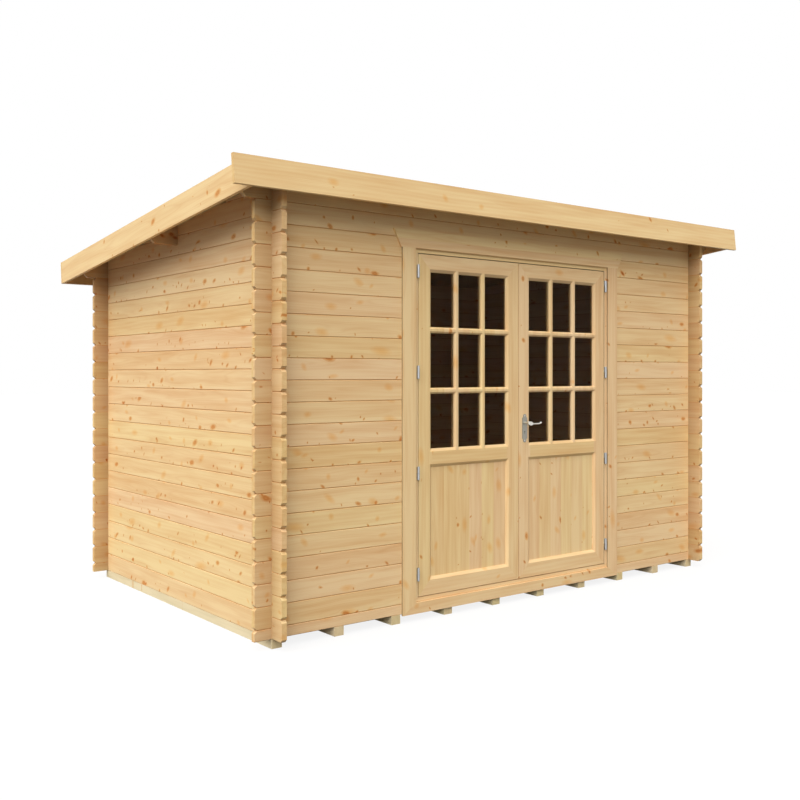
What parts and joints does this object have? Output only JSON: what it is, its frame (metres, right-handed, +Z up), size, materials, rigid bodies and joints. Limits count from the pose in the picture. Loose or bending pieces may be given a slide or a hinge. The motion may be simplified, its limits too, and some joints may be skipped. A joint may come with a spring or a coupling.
{
  "type": "log cabin",
  "caption": "Small garden log cabin with interlocking log walls, a single-slope overhanging roof, a boarded floor and a pair of half-glazed outward-opening doors.",
  "frame": {"origin": "on the ground below the middle of the roof's outline, halfway between the front fascia and the back fascia", "axes": "+Z up, +X to the right along the front wall as seen from outside, +Y from the front wall to the back wall"},
  "size_m": [4.096, 2.6938, 2.4437],
  "materials": {
    "log_wood": "planed, unpainted",
    "treated_wood": "planed, unpainted",
    "board_wood": "planed, unpainted",
    "door_wood": "planed, unpainted",
    "pane": "clear",
    "zinc": "zinc plated",
    "satin_chrome": "satin"
  },
  "bodies": {
    "cabin": {"back_fascia": "board_wood", "back_top_log": "log_wood", "back_wall_even_logs": "log_wood", "back_wall_odd_logs": "log_wood", "bottom_door_trim": "door_wood", "door_head": "door_wood", "door_jambs": "door_wood", "door_sill": "door_wood", "floor_bearers": "treated_wood", "floor_deck": "board_wood", "front_fascia": "board_wood", "front_left_even_logs": "log_wood", "front_left_odd_logs": "log_wood", "front_lintel_log": "log_wood", "front_right_even_logs": "log_wood", "front_right_odd_logs": "log_wood", "front_sill_log": "log_wood", "front_top_log": "log_wood", "head_door_trim": "door_wood", "jamb_hinges": "zinc", "left_barge_board": "board_wood", "left_wall_even_logs": "log_wood", "left_wall_odd_logs": "log_wood", "middle_purlin": "log_wood", "right_barge_board": "board_wood", "right_wall_even_logs": "log_wood", "right_wall_odd_logs": "log_wood", "roof_deck": "board_wood", "side_door_trims": "door_wood"},
    "left_door": {"left_door_bars": "door_wood", "left_door_glass": "pane", "left_door_hinges": "zinc", "left_door_panel": "door_wood", "left_door_rails": "door_wood", "left_door_stiles": "door_wood"},
    "right_door": {"right_door_bars": "door_wood", "right_door_glass": "pane", "right_door_handle_plates": "satin_chrome", "right_door_hinges": "zinc", "right_door_panel": "door_wood", "right_door_rails": "door_wood", "right_door_stiles": "door_wood"},
    "levers": {"right_door_levers": "satin_chrome"}
  },
  "joints": [
    {"name": "left_door_swing", "type": "hinge", "parent": "cabin", "child": "left_door", "pos_m": [-0.8, -1.18177, 1], "axis": [0, 0, -1], "range_deg": [0, 110]},
    {"name": "right_door_swing", "type": "hinge", "parent": "cabin", "child": "right_door", "pos_m": [0.8, -1.18177, 1], "axis": [0, 0, 1], "range_deg": [0, 110]},
    {"name": "lever_turn", "type": "hinge", "parent": "right_door", "child": "levers", "pos_m": [0.0505, -1.17277, 1.09], "axis": [0, 1, 0], "range_deg": [0, 40], "stiffness_Nm_per_rad": 1}
  ]
}
